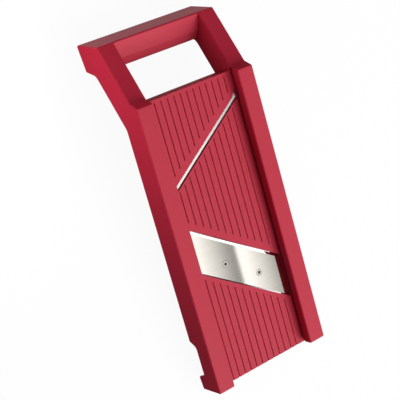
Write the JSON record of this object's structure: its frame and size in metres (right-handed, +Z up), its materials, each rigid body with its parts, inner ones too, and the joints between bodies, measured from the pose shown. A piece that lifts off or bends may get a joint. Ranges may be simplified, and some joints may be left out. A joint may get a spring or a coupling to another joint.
{
  "type": "mandoline slicer",
  "caption": "Hand slicer with a grooved table between two rails, slanted steel blades, a bent-back handle with a grip window, and a knob below that sets the slice thickness.",
  "frame": {"origin": "middle of the bounding box's bottom, on the surface that the feet and the end block stand on", "axes": "+X across the slicer, +Y from the lower end to the handle, +Z up; the table rises 7.7 degrees towards +Y"},
  "size_m": [0.13, 0.3418, 0.0637],
  "materials": {
    "red_abs": "moulded, satin to semi-gloss",
    "blade_steel": "brushed, ground edge",
    "hardware_steel": "turned and plated",
    "brass": "turned",
    "black_nylon": "moulded, fine spark texture",
    "white_acetal": "moulded, satin"
  },
  "bodies": {
    "frame": {"body_moulding": "red_abs", "fine_blade": "blade_steel", "fine_blade_clamp": "black_nylon", "fine_blade_screws": "hardware_steel", "rear_bridge": "black_nylon", "bridge_screws": "hardware_steel", "guide_bushes": "white_acetal", "thrust_washer": "white_acetal"},
    "blade_unit": {"blade_carrier": "black_nylon", "main_blade": "blade_steel", "blade_screws": "hardware_steel", "blade_inserts": "brass", "guide_pins": "hardware_steel", "spindle_nut": "brass"},
    "adjuster": {"adjusting_spindle": "hardware_steel", "retaining_clip": "hardware_steel", "adjusting_knob": "black_nylon", "knob_screw": "hardware_steel"}
  },
  "joints": [
    {"name": "thickness_knob", "type": "hinge", "parent": "frame", "child": "adjuster", "pos_m": [0.0022, -0.07504, 0.03994], "axis": [0, -0.134, 0.991], "range_deg": [-630, 270]},
    {"name": "blade_height", "type": "slide", "parent": "frame", "child": "blade_unit", "axis": [0, -0.134, 0.991], "range_m": [-0.0015, 0.0035]}
  ],
  "couplings": [
    {"joint": "thickness_knob", "follows": "blade_height", "rad_per_m": -3141.6}
  ]
}
